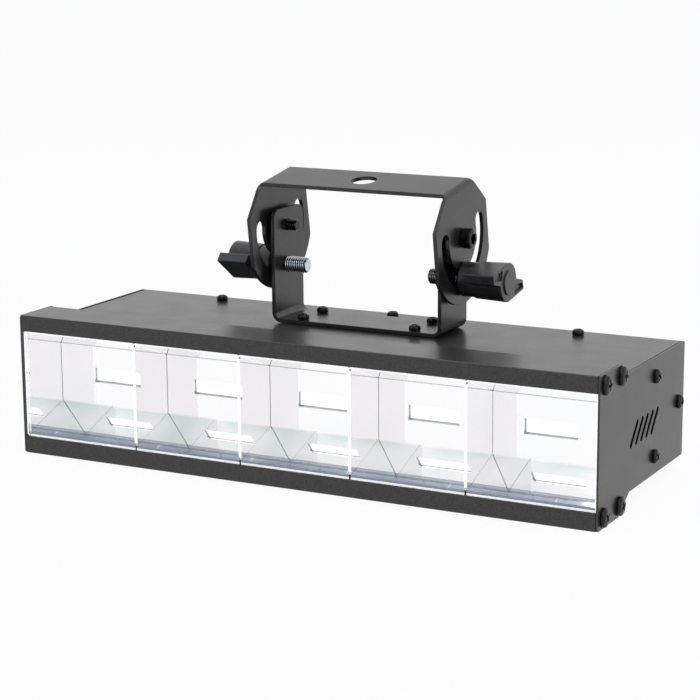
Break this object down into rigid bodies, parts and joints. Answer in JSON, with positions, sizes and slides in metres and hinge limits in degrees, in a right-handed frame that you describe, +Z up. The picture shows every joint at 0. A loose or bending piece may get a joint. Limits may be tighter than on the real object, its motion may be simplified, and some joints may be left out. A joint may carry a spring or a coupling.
{
  "type": "strobe light",
  "caption": "Bar-shaped strobe light with mirrored light cells behind a clear pane, a vented sheet housing, and a hanging yoke that tilts and is locked by winged knobs.",
  "frame": {"origin": "under the middle of the whole light, on the plane of the bottom rail's underside", "axes": "+X along the bar towards its right end as seen from the front, +Y from the window to the rear panel, +Z up from the bottom rail to the yoke"},
  "size_m": [0.3168, 0.1172, 0.1418],
  "materials": {
    "powder_coat": "fine matt powder coat",
    "mirror_sheet": "polished",
    "clear_pane": "clear",
    "dark_plastic": "smooth",
    "white_board": "smooth",
    "lamp_white": "smooth",
    "aluminium": "as extruded",
    "black_steel": "black oxide, glossy",
    "zinc_steel": "bright zinc plated",
    "black_plastic": "satin",
    "green_board": "smooth"
  },
  "bodies": {
    "housing": {"right_end_plate": "powder_coat", "left_end_plate": "powder_coat", "top_rail": "powder_coat", "bottom_rail": "powder_coat", "top_cover": "powder_coat", "chassis_tray": "powder_coat", "inner_bracket": "powder_coat", "reflector_trough": "mirror_sheet", "cell_divider_1": "mirror_sheet", "cell_divider_2": "mirror_sheet", "cell_divider_3": "mirror_sheet", "cell_divider_4": "mirror_sheet", "right_end_mirror": "mirror_sheet", "left_end_mirror": "mirror_sheet", "front_pane": "clear_pane", "lamp_frame": "dark_plastic", "display_window": "dark_plastic", "lamp_board": "white_board", "lamp_1": "lamp_white", "lamp_2": "lamp_white", "lamp_3": "lamp_white", "lamp_4": "lamp_white", "lamp_5": "lamp_white", "heat_sink": "aluminium", "right_rail_screw_1": "black_steel", "right_rail_screw_2": "black_steel", "right_rail_screw_3": "black_steel", "right_rail_screw_4": "black_steel", "left_rail_screw_1": "black_steel", "left_rail_screw_2": "black_steel", "left_rail_screw_3": "black_steel", "left_rail_screw_4": "black_steel", "cover_screw_1": "black_steel", "cover_screw_2": "black_steel", "cover_screw_3": "black_steel", "base_screw_1": "black_steel", "base_screw_2": "black_steel", "base_screw_3": "black_steel", "base_screw_4": "black_steel", "right_pivot_screw": "black_steel", "left_pivot_screw": "black_steel", "right_pivot_bush": "zinc_steel", "right_clamp_bush": "zinc_steel", "left_pivot_bush": "zinc_steel", "left_clamp_bush": "zinc_steel", "mains_inlet": "black_plastic", "data_output_socket": "black_plastic", "data_input_socket": "black_plastic", "control_board": "green_board", "power_supply": "green_board"},
    "yoke": {"outer_yoke": "powder_coat"},
    "right_stud": {"right_clamp_stud": "zinc_steel"},
    "right_knob": {"right_clamp_knob": "black_plastic"},
    "left_stud": {"left_clamp_stud": "zinc_steel"},
    "left_knob": {"left_clamp_knob": "black_plastic"},
    "fuse_drawer": {"fuse_drawer": "black_plastic"},
    "button_1": {"button_1": "black_plastic"},
    "button_2": {"button_2": "black_plastic"},
    "button_3": {"button_3": "black_plastic"},
    "button_4": {"button_4": "black_plastic"}
  },
  "joints": [
    {"name": "yoke_tilt", "type": "hinge", "parent": "housing", "child": "yoke", "pos_m": [0, 0.0234, 0.1134], "axis": [1, 0, 0], "range_deg": [-108.8, 90.2]},
    {"name": "right_stud_travel", "type": "slide", "parent": "housing", "child": "right_stud", "axis": [1, 0, 0], "range_m": [0, 0.0025]},
    {"name": "right_knob_turn", "type": "hinge", "parent": "right_stud", "child": "right_knob", "pos_m": [0.064, 0.0234, 0.0932], "axis": [1, 0, 0], "range_deg": [0, 720]},
    {"name": "left_stud_travel", "type": "slide", "parent": "housing", "child": "left_stud", "axis": [-1, 0, 0], "range_m": [0, 0.0025]},
    {"name": "left_knob_turn", "type": "hinge", "parent": "left_stud", "child": "left_knob", "pos_m": [-0.064, 0.0234, 0.0932], "axis": [-1, 0, 0], "range_deg": [0, 720]},
    {"name": "fuse_drawer_pull", "type": "slide", "parent": "housing", "child": "fuse_drawer", "axis": [0, 1, 0], "range_m": [0, 0.016]},
    {"name": "button_1_press", "type": "slide", "parent": "housing", "child": "button_1", "axis": [0, -1, 0], "range_m": [0, 0.0008], "stiffness_N_per_m": 500, "springref_m": -0.0008},
    {"name": "button_2_press", "type": "slide", "parent": "housing", "child": "button_2", "axis": [0, -1, 0], "range_m": [0, 0.0008], "stiffness_N_per_m": 500, "springref_m": -0.0008},
    {"name": "button_3_press", "type": "slide", "parent": "housing", "child": "button_3", "axis": [0, -1, 0], "range_m": [0, 0.0008], "stiffness_N_per_m": 500, "springref_m": -0.0008},
    {"name": "button_4_press", "type": "slide", "parent": "housing", "child": "button_4", "axis": [0, -1, 0], "range_m": [0, 0.0008], "stiffness_N_per_m": 500, "springref_m": -0.0008}
  ],
  "couplings": [
    {"joint": "right_knob_turn", "follows": "right_stud_travel", "rad_per_m": 5026.5},
    {"joint": "left_knob_turn", "follows": "left_stud_travel", "rad_per_m": 5026.5}
  ]
}
